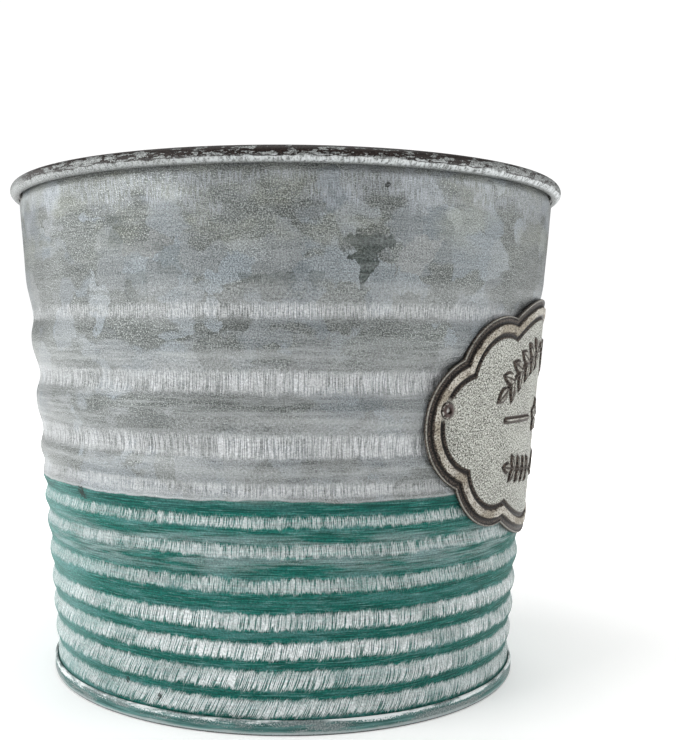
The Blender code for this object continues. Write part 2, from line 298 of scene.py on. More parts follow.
class Look:
    """A material being made: its methods add nodes. Colours are display values of 0 to 255.

    Its layout runs round the wall and up it, or across the pan when flat.
    """

    def __init__(self, name, flat=False):
        self.material = bpy.data.materials.new(name)
        self.material.use_nodes = True
        self.nodes = self.material.node_tree.nodes
        self.shader = self.nodes["Principled BSDF"]
        self.x, self.y, self.z = self.split(self.make("TexCoord", {}, "Object"))
        if flat:
            self.u, self.v = self.x * (1.0 / MM), self.y * (1.0 / MM)
        else:
            self.u = self.math("ARCTAN2", self.x, self.y * -1.0) * ROUND
            self.v = self.z * (1.0 / MM)

    def put(self, value, socket):
        if isinstance(value, Value):
            self.material.node_tree.links.new(value.socket, socket)
        elif isinstance(value, tuple):
            socket.default_value = srgb(*value)[:len(socket.default_value)]
        else:
            socket.default_value = value

    def make(self, kind, inputs, output=0, **settings):
        """Adds a node and gives back one of its outputs."""
        node = self.nodes.new("ShaderNode" + kind)
        for key, setting in settings.items():
            setattr(node, key, setting)
        for key, value in inputs.items():
            self.put(value, node.inputs[key])
        return Value(self, node.outputs[output])

    def split(self, vector):
        return [Value(self, socket) for socket in self.make("SeparateXYZ", {0: vector}).socket.node.outputs]

    def vector(self, x, y, z=0.0):
        return self.make("CombineXYZ", {0: x, 1: y, 2: z})

    def math(self, operation, first, second=0.0):
        return self.make("Math", {0: first, 1: second}, operation=operation)

    def larger(self, first, second):
        return self.math("MAXIMUM", first, second)

    def length(self, x, y):
        return self.math("SQRT", x * x + y * y)

    def noise(self, vector, size, detail=2.0, rough=0.5):
        inputs = {"Vector": vector, "Scale": 1.0 / size, "Detail": detail, "Roughness": rough}
        return self.make("TexNoise", inputs, "Fac")

    def grain(self, across, along, seed, rise=0.0, detail=3.0, rough=0.6, around=None):
        """Noise in the wall's layout, with its own size round the wall and up it; rise tilts its lines."""
        height = self.v + self.u * rise if rise else self.v
        vector = self.vector((around or self.u) * (1.0 / across), height * (1.0 / along), seed)
        return self.noise(vector, 1.0, detail, rough)

    def cells(self, vector, size):
        """Random colour of each cell of a crystal pattern, as three values."""
        return self.split(self.make("TexVoronoi", {"Vector": vector, "Scale": 1.0 / size}, "Color"))

    def mix(self, share, first, second):
        return self.make("Mix", {0: share, 6: first, 7: second}, 2, data_type="RGBA")

    def scale(self, colour, amount):
        """Brightens or darkens a colour by a value."""
        return self.make("VectorMath", {0: colour, "Scale": amount}, operation="SCALE")

    def speckle(self, colour, grain, amount):
        return self.scale(colour, 1.0 + grain * amount)

    def attribute(self, name):
        return self.make("Attribute", {}, "Fac", attribute_name=name)

    def finish(self, colour, roughness, metallic, height, depth, specular=0.5):
        """Sends the results to the shader; height is relief, and depth its size in metres."""
        normal = self.make("Bump", {"Strength": 1.0, "Distance": depth, "Height": height})
        results = {"Base Color": colour, "Roughness": roughness, "Metallic": metallic, "Normal": normal}
        for key, value in results.items():
            self.put(value, self.shader.inputs[key])
        self.shader.inputs["Specular IOR Level"].default_value = specular
        return self.material


# White dry-brushed bands of the wall: top and bottom in millimetres, and how full of paint
WHITE_BANDS = [
    (128.2, 123.6, 0.60),
    (108.4, 101.6, 0.80),
    (89.8, 82.8, 0.82),
    (75.7, 71.6, 0.66),
    (65.7, 62.6, 0.64),
    (57.4, 53.8, 0.56),
    (47.2, 43.0, 0.58),
    (36.7, 31.9, 0.84),
    (27.8, 22.9, 0.88),
    (19.3, 13.6, 0.84),
    (10.5, 5.2, 0.78),
]
TEAL_TOP = 70.4

# Dark crystals: angle in degrees; foot, top and half width in millimetres; strength; lean; whether pointed
DARK_CRYSTALS = [
    (-55.2, 132.0, 147.6, 6.0, 0.95, -0.12, True),
    (-73.6, 129.0, 136.6, 6.2, 0.50, 0.5, False),
    (-64.8, 131.5, 137.0, 2.6, 0.40, 0.0, True),
    (-101.4, 145.0, 154.0, 2.6, 0.45, 0.0, False),
    (-98.4, 129.5, 137.0, 3.4, 0.45, 0.0, False),
    (-91.0, 137.0, 146.0, 3.2, 0.28, 0.0, False),
    (-78.4, 88.4, 93.4, 7.0, 0.45, 0.0, False),
    (-61.0, 74.0, 79.6, 6.0, 0.45, 0.8, True),
    (-113.5, 92.0, 97.0, 6.0, 0.35, 0.0, False),
    (34.0, 131.0, 147.0, 7.0, 0.70, 0.2, True),
    (98.0, 127.0, 137.0, 6.0, 0.55, 0.0, False),
    (152.0, 136.0, 152.0, 6.5, 0.65, -0.2, True),
    (-150.0, 108.0, 118.0, 7.0, 0.50, 0.0, False),
]

# Chip marks: angle in degrees, height and size in millimetres
CHIP_MARKS = [
    (-52.4, 162.0, 0.8), (-116.8, 68.9, 2.0), (-105.8, 11.2, 1.0), (-97.0, 8.4, 0.9),
    (12.0, 60.5, 1.2), (71.0, 151.0, 1.2), (140.0, 33.0, 1.1),
]


def zinc(look, seed, bright=1.0):
    """Weathered galvanised sheet, its relief and its clouds: smooth crystals among peppered ones."""
    wander = look.grain(4.5, 4.5, seed + 1.0, rough=0.5)
    wander_up = look.grain(4.5, 4.5, seed + 2.0, rough=0.5)
    place = look.vector(look.u + wander.swing(9.0), look.v + wander_up.swing(9.0), seed)
    tone, kind, tint = look.cells(place, 10.0)
    cloud = look.grain(38.0, 26.0, seed + 3.0)
    salt = look.grain(0.44, 0.42, seed + 4.0, detail=1.0, rough=0.8) - 0.5
    pepper = look.grain(1.00, 0.90, seed + 5.0, detail=2.0, rough=0.8) - 0.5
    peppered = (kind * 0.5 + cloud.swing(2.6)).ramp(0.17, 0.28)
    colour = look.mix(tint, (116, 119, 119), (116, 123, 127))
    colour = look.mix(peppered, colour, (103, 107, 105))
    colour = look.scale(colour, tone.ramp(0.0, 1.0, bright - 0.14, bright + 0.19))
    grains = salt * 7.5 + pepper * 2.2
    grains = grains * peppered.ramp(0.0, 1.0, 0.42, 1.0)
    grains = look.math("MINIMUM", look.larger(grains, -0.50), 0.95)
    colour = look.scale(colour, 1.0 + grains)
    lit, dull = salt.ramp(0.045, 0.085), pepper.ramp(-0.060, -0.095)
    colour = colour.over(lit, peppered * 0.36, look.scale((168, 172, 170), bright))
    colour = colour.over(dull, peppered * 0.34, look.scale((62, 66, 64), bright))
    return colour, grains + tone * 0.5, cloud


def dark_crystal(look, colour, jag, grain, angle, low, high, wide, strength, lean, pointed):
    """A dark crystal with jagged edges between two heights, which may narrow to a point at its foot."""
    share = look.v.ramp(low, high) if pointed else 1.0
    around = look.u - math.radians(angle) * ROUND
    around = around + (look.v - high) * lean
    across = look.math("DIVIDE", look.math("ABSOLUTE", around), look.math("MULTIPLY", share, wide) + 0.4)
    middle, half_height = (low + high) / 2, (high - low) / 2
    rise = look.math("ABSOLUTE", (look.v - middle) * (1.0 / half_height))
    edge = look.larger(across, look.math("POWER", rise, 3.0)) + jag
    flecked = look.larger(1.0 + grain * 8.5, 0.45)
    inside = look.scale((66, 72, 70), flecked)
    colour = colour.over(edge.ramp(1.0, 0.96), strength, inside)
    return colour.over(edge.band(0.86, 0.98, 0.05), strength * 0.5, (48, 54, 53))


def chip_mark(look, colour, jag, angle, height, size):
    """A small black chip with a ragged outline."""
    around = look.u - math.radians(angle) * ROUND
    up = look.v - height
    off = around * around + up * up
    off = off * (1.0 / (size * size)) + jag * 9.0
    return look.mix(off.ramp(1.0, 0.6, 0.0, 0.85), colour, (34, 34, 32))


def brush_zinc(look, colour, relief, cloud, patchy):
    """Olive tint, thin whitewash and brush scratches on the bare zinc."""
    tint = look.grain(22.0, 12.0, 31.0, detail=2.0).ramp(0.46, 0.62) * look.v.ramp(138.0, 154.0)
    colour = colour.over(tint, 0.50, look.scale((117, 120, 112), 1.0 + relief))
    hair = look.grain(0.42, 6.0, 37.0, rough=0.65).ramp(0.46, 0.64)
    colour = colour.over(hair * patchy.ramp(0.46, 0.66), 0.16, (186, 190, 190))
    reach = look.v + patchy.swing(40.0)
    under_rim = reach.ramp(155.0, 161.0) * look.v.ramp(166.5, 164.0)
    strokes = look.grain(0.40, 4.5, 47.0).ramp(0.44, 0.58, 0.10, 1.0) * under_rim
    colour = colour.over(strokes, 0.50, (178, 183, 190))

    # Level smears between the upper ribs
    smear = look.grain(34.0, 1.9, 57.0)
    between = look.v.ramp(122.0, 112.0, 0.25, 1.0)
    colour = colour.over(smear.ramp(0.44, 0.62, 0.0, 0.55), between, (158, 162, 162))
    colour = colour.over(smear.ramp(0.42, 0.32, 0.0, 0.30), between, (88, 94, 95))

    # Fine scratches, nearly level
    for rise, seed in ((0.16, 49.0), (-0.10, 51.0)):
        line = look.grain(7.0, 0.24, seed, rise=rise, detail=2.0)
        lit = line.ramp(0.55, 0.64) * cloud.ramp(0.42, 0.56, 0.25, 1.0)
        colour = colour.over(lit, 0.28, (172, 177, 178))
        cut = line.ramp(0.42, 0.34) * patchy.ramp(0.46, 0.60, 0.25, 1.0)
        colour = colour.over(cut, 0.26, (58, 64, 64))
    return colour


def worn_teal(look, colour, grain):
    """Teal below an uneven hand-painted edge, thin in streaks; with its zone and its streaks."""
    edge = look.v + look.grain(26.0, 400.0, 53.0).swing(4.0)
    zone = edge.ramp(TEAL_TOP + 0.15, TEAL_TOP - 0.15)
    streak = look.grain(15.0, 0.50, 59.0, detail=4.0, rough=0.65)
    broad = look.grain(24.0, 3.2, 61.0)
    pale = look.grain(8.0, 0.38, 63.0, rough=0.7)
    teal = streak.blend(0.36, 0.66, (0, 70, 62), (14, 112, 101))
    teal = look.mix(broad.ramp(0.48, 0.64, 0.0, 0.65), teal, (70, 122, 119))
    teal = look.mix(pale.ramp(0.55, 0.66, 0.0, 0.55), teal, (124, 164, 162))
    teal = look.mix(pale.ramp(0.43, 0.34, 0.0, 0.6), teal, (4, 48, 45))
    teal = look.mix(look.u.band(-176.0, 60.0, 40.0), teal, look.scale(teal, 0.86))
    # Painted light: the teal is paled towards the left, a painted sheen of the brighter light on that side.
    teal = look.mix(look.u.ramp(-178.0, -205.0, 0.0, 0.30), teal, (124, 160, 158))
    rubbed = look.v.band(49.0, 60.0, 3.0) * broad.ramp(0.36, 0.60)
    teal = teal.over(rubbed * streak.ramp(0.44, 0.58), 0.55, (134, 170, 168))
    teal = look.speckle(teal, grain, 2.6)
    cover = zone * streak.ramp(0.74, 0.56, 0.82, 0.99) * rubbed.ramp(0.0, 1.0, 1.0, 0.62)
    colour = look.mix(cover, colour, teal)
    deep = edge.band(TEAL_TOP - 3.6, TEAL_TOP - 0.1, 0.6) * streak.ramp(0.62, 0.42)
    colour = colour.over(deep, 0.55, (2, 56, 52))
    # Painted highlight: a thin pale line just above the teal's edge.
    line = edge.band(TEAL_TOP + 0.15, TEAL_TOP + 0.65, 0.2)
    return colour.over(line, 0.22, (196, 202, 202)), zone, streak


def white_ribs(look, colour, grain, patchy, teal_zone):
    """White brushed up and down the ribs, with bristle marks past each band's edges; and where it is."""
    drop = look.larger(42.0 + look.v * -1.0, 0.0)
    leaning = look.u + drop * drop * 0.0075
    bristle = look.grain(0.40, 9.0, 71.0, detail=1.0, rough=0.7, around=leaning)
    clump = look.grain(2.6, 30.0, 73.0, detail=2.0, around=leaning)
    fray = bristle.swing(5.5) + clump.swing(3.0)
    sway = look.grain(34.0, 300.0, 67.0, detail=2.0).swing(2.0)
    height = look.v + sway + look.u.ramp(-206.0, -135.0, -0.7, 0.0)
    above, below = height + fray, height + fray * -1.0
    white, haze = 0.0, 0.0
    for top, bottom, full in WHITE_BANDS:
        soft = 0.8 if bottom > TEAL_TOP else 0.35
        lower = below.ramp(bottom - soft, bottom + soft)
        upper = above.ramp(top + soft, top - soft)
        white = look.larger(white, lower * upper * full)
        if bottom > TEAL_TOP:
            haze = look.larger(haze, height.band(bottom - 0.8, top + 5.6, 2.2) * full)
    haze = haze * (patchy + grain * 0.8).ramp(0.28, 0.58, 0.25, 1.0)
    haze_colour = look.speckle((158, 161, 161), grain, 2.6)
    colour = colour.over(haze, look.u.ramp(-185.0, -145.0, 0.25, 0.74), haze_colour)
    thin = look.grain(19.0, 11.0, 79.0, detail=2.0).ramp(0.32, 0.56, 0.62, 1.0)
    on_teal = teal_zone * bristle.ramp(0.43, 0.51, 0.10, 1.0)
    lines = look.larger(bristle.ramp(0.455, 0.510), on_teal)
    # Painted shade: the white is thinned towards the left, against the brighter light on that side.
    white = white * thin * lines * look.u.ramp(-178.0, -140.0, 0.80, 1.0)
    paint = look.speckle(look.mix(teal_zone, (204, 206, 208), (228, 231, 232)), grain, 2.0)
    return look.mix(white, colour, paint), white


def wall_paint():
    """Outside of the wall: zinc, brushed white ribs, and worn teal on the lower part."""
    look = Look("wall_paint")
    colour, relief, cloud = zinc(look, 3.0)
    jag = look.grain(3.4, 4.0, 11.0, detail=4.0, rough=0.55).swing(3.6)
    fine_jag = look.grain(0.9, 0.9, 12.0, rough=0.8) - 0.5
    grain = look.grain(0.8, 0.7, 13.0, rough=0.8) - 0.5
    patchy = look.grain(21.0, 17.0, 43.0, detail=2.0)
    for crystal in DARK_CRYSTALS:
        colour = dark_crystal(look, colour, jag, grain, *crystal)
    colour = brush_zinc(look, colour, relief, cloud, patchy)
    colour, teal_zone, streak = worn_teal(look, colour, grain)
    colour, white = white_ribs(look, colour, grain, patchy, teal_zone)
    for mark in CHIP_MARKS:
        colour = chip_mark(look, colour, fine_jag, *mark)
    relief = relief * teal_zone.ramp(0.0, 1.0, 1.0, 0.5) + white * 0.9
    relief = relief + streak * (teal_zone * 0.6)
    painted = look.larger(teal_zone, white)
    roughness = painted.ramp(0.0, 1.0, 0.38, 0.58)
    metallic = painted.ramp(0.0, 1.0, 0.78, 0.0)
    return look.finish(colour, roughness, metallic, relief, 0.12 * MM, specular=0.15)


def bare_zinc():
    """Unpainted zinc of the inside, with water marks low down."""
    look = Look("bare_zinc")
    # Painted light: the zinc is made 1.9 times brighter here than outside, against the shade inside the
    # bucket.
    colour, relief, _ = zinc(look, 103.0, 1.9)
    tide = look.v + look.grain(40.0, 300.0, 107.0) * 16.0
    colour = colour.over(tide.band(12.0, 38.0, 5.0), 0.35, (186, 186, 178))
    return look.finish(colour, 0.45, 0.35, relief, 0.05 * MM)


def pan_zinc():
    """Unpainted zinc of the pan, stained towards its edge where water has stood."""
    look = Look("pan_zinc", flat=True)
    # Painted light: the zinc is made 1.9 times brighter here than outside, against the shade inside the
    # bucket.
    colour, relief, _ = zinc(look, 113.0, 1.9)
    tide = look.length(look.u, look.v) + look.grain(30.0, 30.0, 117.0) * 24.0
    colour = colour.over(tide.band(82.0, 120.0, 6.0), 0.25, (176, 174, 164))
    return look.finish(colour, 0.45, 0.35, relief, 0.05 * MM)


def rim_paint():
    """Rolled rim: dark brown paint on its upper half, chipped to the grey below it; a painted highlight in
    white low on the bead.
    """
    look = Look("rim_paint")
    out = look.length(look.x, look.y) - BEAD_CENTRE[0]
    turned = look.math("ARCTAN2", look.z - BEAD_CENTRE[1], out)
    chips = look.noise(look.vector(look.u * 0.45, turned * 2.4, 5.0), 1.5, 4.0, 0.65)
    long_chips = look.noise(look.vector(look.u * 0.12, turned * 2.4, 9.0), 1.3, 4.0, 0.6)
    fleck = look.noise(look.vector(look.u, turned * (BEAD_RADIUS / MM), 5.0), 0.45, 3.0, 0.7)
    brushed = look.noise(look.vector(look.u * 0.9, turned, 13.0), 0.6, 3.0).ramp(0.35, 0.6)
    grey = fleck.blend(0.35, 0.68, (76, 79, 77), (160, 163, 162))
    # Painted highlight: white laid in streaks along the bead's lower half, fading towards the left.
    low = brushed * turned.band(-1.15, -0.30, 0.25)
    grey = grey.over(low, look.u.ramp(-170.0, -100.0, 0.30, 0.85), (200, 204, 205))

    # Paint: ragged along its lower edge, chipped, with dark lines along its top and its foot
    ragged = (chips + long_chips - 1.0) * 2.4
    wavering = turned + ragged * 0.35
    worn = look.grain(60.0, 60.0, 17.0, detail=2.0).swing(0.5)
    bare = (chips * 0.6 + long_chips * 0.4 + worn).ramp(0.500, 0.508)
    above = (turned + ragged).ramp(-0.30, -0.26)
    cover = above * (1.0 + bare * -0.95)
    top_line = wavering.ramp(0.85, 0.95) * chips.ramp(0.66, 0.62)
    low_line = wavering.band(-0.36, -0.20, 0.04)
    low_line = low_line * long_chips.ramp(0.44, 0.50, 0.2, 0.85)
    left_end = (look.u + chips * 30.0).ramp(-198.0, -184.0)
    left_end = look.larger(left_end, look.u.ramp(-236.0, -250.0))
    cover = look.larger(cover, look.larger(top_line, low_line)) * left_end
    paint = fleck.blend(0.38, 0.64, (12, 8, 7), (44, 35, 31))
    relief = cover + fleck * 0.4
    roughness = cover.ramp(0.0, 1.0, 0.50, 0.42)
    metallic = cover.ramp(0.0, 1.0, 0.35, 0.0)
    return look.finish(look.mix(cover, grey, paint), roughness, metallic, relief, 0.12 * MM, specular=0.2)


def seam_paint():
    """Foot seam: teal rubbed through to grey, white along its top edge, a painted floor reflection low down
    and painted shadow underneath.
    """
    look = Look("seam_paint")
    streak = look.grain(16.0, 0.8, 5.0, detail=4.0, rough=0.65)
    fleck = look.grain(0.6, 0.5, 7.0, rough=0.7)
    patch = look.grain(22.0, 3.0, 9.0, detail=4.0, rough=0.65)
    teal = streak.blend(0.38, 0.66, (14, 74, 70), (78, 124, 120))
    grey = fleck.blend(0.4, 0.66, (96, 106, 106), (146, 154, 154))
    worn = (patch + fleck.swing(0.35)).ramp(0.47, 0.60)
    colour = teal.over(worn, 0.9, grey)
    ragged = fleck.swing(3.0) + patch.swing(-5.0)
    top = (look.v + ragged).ramp(3.5, 4.2)
    colour = colour.over(top, patch.ramp(0.57, 0.45, 0.10, 0.95), (222, 226, 226))
    # Painted reflection: the seam's rounded foot lightened as if it mirrored the white floor.
    foot = (look.v + streak.swing(2.0)).ramp(1.5, 0.9)
    colour = colour.over(foot, 0.7, (176, 184, 184))
    # Painted contact shadow: the seam's lowest half millimetre darkened where it meets the floor.
    contact_shadow = (look.v + fleck.swing(0.6)).ramp(0.62, 0.36)
    colour = colour.over(contact_shadow, 0.9, (30, 34, 34))
    relief = streak * 0.7 + fleck * 0.5
    roughness = worn.ramp(0.0, 1.0, 0.55, 0.42)
    return look.finish(colour, roughness, worn * 0.45, relief, 0.08 * MM)


def sealing_compound():
    """Grey rubbery compound, a little dusty."""
    look = Look("sealing_compound")
    dust = look.grain(2.2, 2.2, 3.0, detail=4.0)
    colour = dust.blend(0.4, 0.68, (112, 114, 112), (150, 151, 146))
    return look.finish(colour, dust.ramp(0.3, 0.7, 0.62, 0.85), 0.0, dust, 0.15 * MM)


def drawn_steel():
    """Drawn steel wire with faint lines along it."""
    look = Look("drawn_steel")
    line = look.grain(14.0, 0.12, 3.0)
    colour = line.blend(0.35, 0.65, (120, 118, 116), (160, 158, 155))
    return look.finish(colour, line.ramp(0.3, 0.7, 0.3, 0.5), 1.0, line, 0.02 * MM)


def plaque_paint():
    """Aged cream enamel, speckled, with dark brown rubbed into every recess."""
    look = Look("plaque_paint")
    ink, rise, edge = look.attribute("ink"), look.attribute("rise"), look.attribute("bright_edge")
    fleck = look.grain(0.5, 0.5, 3.0, rough=0.75)
    speck = look.grain(0.62, 0.6, 5.0, detail=2.0, rough=0.7)
    cloud = look.grain(11.0, 9.0, 7.0)
    smudge = look.grain(3.2, 3.2, 9.0, rough=0.7)
    panel = cloud.blend(0.40, 0.60, (126, 128, 120), (148, 150, 142))
    panel = panel.over(fleck.ramp(0.50, 0.56), 0.85, (222, 223, 216))
    panel = panel.over(speck.ramp(0.49, 0.41), 0.92, (52, 49, 41))
    raised = cloud.blend(0.40, 0.60, (140, 133, 119), (188, 185, 176))
    raised = raised.over(fleck.ramp(0.50, 0.62), 0.6, (196, 190, 176))
    raised = raised.over(speck.ramp(0.52, 0.40), 0.85, (62, 50, 36))
    colour = rise.blend(0.35, 0.75, panel, raised)
    dirt = ink + speck.swing(1.3) + smudge.swing(rise * 3.4)
    brown = speck.blend(0.40, 0.62, (9, 6, 5), (84, 74, 66))
    colour = dirt.blend(0.25, 0.65, colour, brown)
    colour = colour.over(ink.ramp(1.0, 1.4), 0.9, (8, 6, 5))
    worn = (fleck + cloud * 0.5).ramp(0.60, 0.78)
    colour = colour.over(edge, worn, (196, 195, 186))
    relief = fleck * 0.8 + speck * 0.8
    return look.finish(colour, dirt.ramp(0.3, 0.62, 0.50, 0.42), 0.0, relief, 0.16 * MM, specular=0.14)


def rivet_paint():
    """Rivet body: dark paint worn bright on its rim."""
    look = Look("rivet_paint")
    wear = look.grain(0.9, 0.9, 3.0, detail=4.0, rough=0.7)
    paint = wear.blend(0.35, 0.65, (40, 31, 27), (86, 70, 66))
    bare = (look.attribute("rise") + wear.swing(3.6)).ramp(0.72, 0.92)
    colour = look.mix(bare, paint, (176, 174, 168))
    return look.finish(colour, 0.45, bare * 0.5, wear, 0.10 * MM, specular=0.3)


# ---------------- wall


def groove_depth(z):
    """How far the wall lies inside its crest cone at each height."""
    depth = np.zeros_like(z)
    for start, deep, end, reach in GROOVES:
        flank = np.where(z > deep, start - deep, deep - end)
        wave = reach * 0.5 * (1.0 + np.cos(math.pi * (z - deep) / flank))
        depth += np.where((z > end) & (z < start), wave, 0.0)
    return depth


def crest_radius(z):
    return CREST_FOOT + TAPER * z


def wall_middle(z):
    z = np.asarray(z, float)
    return crest_radius(z) - groove_depth(z) - SHEET * 0.5


def hook_middle():
    return float(wall_middle(HOOK_FLOOR)) + 2.0 * HOOK_TURN


# Dents: angle, height, reach and depth
DENTS = list(zip(
    RNG.uniform(-math.pi, math.pi, DENT_COUNT), RNG.uniform(8.0, 158.0, DENT_COUNT) * MM,
    RNG.uniform(5.0, 15.0, DENT_COUNT) * MM, RNG.uniform(0.04, 0.22, DENT_COUNT) * MM,
))


def unevenness(angle, z):
    """Small dents and the uneven roll of the ribs, as a move along the radius."""
    move = np.zeros_like(z)
    for centre, height, reach, depth in DENTS:
        around = wrap(angle - centre) * CREST_FOOT
        move -= depth * np.exp(-(around ** 2 + (z - height) ** 2) / reach ** 2)
    fade = smooth(z, 4.0 * MM, 14.0 * MM) * smooth(z, 166.0 * MM, 156.0 * MM)
    roll = 0.07 * MM * np.sin(5.0 * angle + z * 95.0) + 0.05 * MM * np.sin(11.0 * angle - z * 240.0)
    return (move + roll) * fade


def lock_seam(angle, z):
    """Height of the folded side seam: a rounded fold on one side and a cut edge on the other."""
    off = off_seam(angle)
    fold = smooth(off, -(LOCK_HALF_WIDTH + LOCK_FLANK), -LOCK_HALF_WIDTH * 0.85)
    cut = smooth(off, LOCK_HALF_WIDTH + LOCK_FLANK * 0.4, LOCK_HALF_WIDTH)
    ends = smooth(z, LOCK_LOW - 1.2 * MM, LOCK_LOW) * smooth(z, LOCK_HIGH + 1.2 * MM, LOCK_HIGH)
    pressed = 1.0 - 0.25 * np.cos(off / LOCK_HALF_WIDTH * 1.4) ** 8
    return LOCK_PROUD * fold * cut * ends * pressed


def build_wall(outside, inside, rim):
    """Ribbed wall sheet from the hook at its foot to the curled rim, closed by the lock seam."""
    turn_centre = (hook_middle() - HOOK_TURN, HOOK_FLOOR)
    hook = np.vstack([[(hook_middle(), HOOK_TOP)], arc(turn_centre, HOOK_TURN, 0.0, -math.pi, 8)])
    top = HEIGHT - BEAD_RADIUS - BEND_BELOW_BEAD
    heights = np.linspace(HOOK_FLOOR, top, round((top - HOOK_FLOOR) / ROW_STEP))[1:]
    rise = np.stack([wall_middle(heights), heights], 1)
    curl = arc(BEAD_CENTRE, BEAD_RADIUS - SHEET * 0.5, CURL_START, CURL_END, 44)
    neck = rise[-1] + (curl[0] - rise[-1]) * np.linspace(0.0, 1.0, 7)[1:-1, None]
    path = np.vstack([hook, rise, neck, curl])
    section = strip(path, SHEET)
    count = len(path)

    # Materials of the sheet's two sides, which trade places where it curls over
    out_zone, in_zone, rim_zone = range(3)
    curled = np.arange(count) >= count - len(curl)
    inner, outer = np.where(curled, rim_zone, in_zone), np.where(curled, in_zone, out_zone)
    tag = np.concatenate([inner, outer[::-1]])

    def shape(radius, z, angle, index):
        body = (z < top) & (z > HOOK_TOP)
        move = np.where(body, unevenness(angle, z), 0.0)
        move += np.where((index >= count) & body, lock_seam(angle, z), 0.0)
        trace = LOCK_TRACE_DEPTH * peak(off_seam(angle), LOCK_HALF_WIDTH, LOCK_TRACE_WIDTH)
        move += np.where((index < count) & body & (z < LOCK_HIGH), trace, 0.0)
        return radius + move, z

    parts = turn(section, round_angles(), shape, tag)
    add_piece("ribbed_wall", parts, [outside, inside, rim], ["bucket_wall"])


def build_rim_wire(material):
    """Stiffening wire held in the rolled rim."""
    section = arc(BEAD_CENTRE, BEAD_RADIUS - SHEET - GAP, 0.0, math.tau, 20)[:-1]
    parts = turn(section, even_angles(240))
    add_piece("stiffening_wire", parts, [material], ["rim_wire"])


# ---------------- foot


def build_bottom(inside, seam):
    """Bottom pan and its double seam, folded round the wall's hook and a little uneven."""
    skirt = hook_middle() - 2.0 * HOOK_TURN - SHEET - GAP
    lip = hook_middle() + SHEET + GAP
    low = SHEET * 0.5
    flat = np.linspace(0.0, skirt - SKIRT_BEND, 24)[:-1]
    path = np.vstack([
        np.stack([flat, np.full_like(flat, FLOOR_HEIGHT)], 1),
        arc((skirt - SKIRT_BEND, FLOOR_HEIGHT - SKIRT_BEND), SKIRT_BEND, math.pi * 0.5, 0.0, 8),
        arc((skirt + LIP_BEND, low + LIP_BEND), LIP_BEND, math.pi, math.pi * 1.5, 6),
        arc((lip - LIP_BEND, low + LIP_BEND), LIP_BEND, -math.pi * 0.5, 0.0, 8),
        [(lip, low + LIP_BEND + (LIP_TOP - low - 2.0 * LIP_BEND) * step) for step in (0.3, 0.5, 0.7)],
        arc((lip - LIP_BEND, LIP_TOP - LIP_BEND), LIP_BEND, 0.0, math.pi * 0.5, 8),
    ])
    section = strip(path, SHEET)
    section[0] = (0.0, FLOOR_HEIGHT + low)
    section[-1] = (0.0, FLOOR_HEIGHT - low)
    count = len(path)
    painted = path[:, 0] > skirt + LIP_BEND
    tag = np.concatenate([np.zeros(count, int), np.where(painted[::-1], 1, 0)])

    def shape(radius, z, angle, index):
        on_lip = (radius > lip - LIP_BEND) & (z > 1.0 * MM)
        settle = 0.24 * MM * (1.0 + np.cos(angle)) + 0.05 * MM * np.sin(7.0 * angle)
        height = np.where(on_lip, z - settle * smooth(z, 1.0 * MM, LIP_TOP), z)
        press = 0.05 * MM * np.sin(23.0 * angle) * smooth(z, 0.8 * MM, 2.5 * MM)
        return np.where(on_lip, radius + press, radius), height

    parts = turn(section, round_angles(), shape, tag)
    add_piece("bottom_pan", parts, [inside, seam], ["bucket_bottom"])


def build_seal(material):
    """Brushed-on fillet of sealing compound, lumpy along its inner edge."""
    low = FLOOR_HEIGHT + SHEET * 0.5 + GAP
    outer = float(wall_middle(low + SEAL_HEIGHT)) - SHEET * 0.5 - GAP
    steps = np.linspace(0.0, 1.0, 9)[1:]
    hollow = np.stack([
        outer - SEAL_WIDTH * (1.0 - np.cos(steps * math.pi * 0.5)),
        low + SEAL_HEIGHT * (1.0 - np.sin(steps * math.pi * 0.5)),
    ], 1)
    section = np.vstack([[(outer, low)], [(outer, low + SEAL_HEIGHT)], hollow])

    def shape(radius, z, angle, index):
        lump = 0.16 * MM * np.sin(31.0 * angle) * np.sin(13.0 * angle + 1.0)
        face = (index > 1) & (index < len(section) - 1)
        return np.where(face, radius - np.abs(lump), radius), z

    parts = turn(section, even_angles(360), shape)
    add_piece("seam_fillet", parts, [material], ["seam_sealant"])


# ---------------- plaque


def circle_through(start, end, bulge):
    """Centre and radius of the arc from start to end that bulges out to the left of the chord."""
    chord = end - start
    half = chord.length * 0.5
    radius = (half * half + bulge * bulge) / (2.0 * bulge)
    left = Vector((-chord.y, chord.x)).normalized()
    return (start + end) * 0.5 + left * (bulge - radius), radius


def meeting_point(first, second, near):
    """The point where two circles cross that lies nearest a given point."""
    (centre_a, radius_a), (centre_b, radius_b) = first, second
    line = centre_b - centre_a
    along = (line.length_squared + radius_a ** 2 - radius_b ** 2) / (2.0 * line.length)
    across = math.sqrt(max(radius_a ** 2 - along ** 2, 0.0))
    foot = centre_a + line.normalized() * along
    side = Vector((-line.y, line.x)).normalized() * across
    return min((foot + side, foot - side), key=lambda point: (point - near).length)


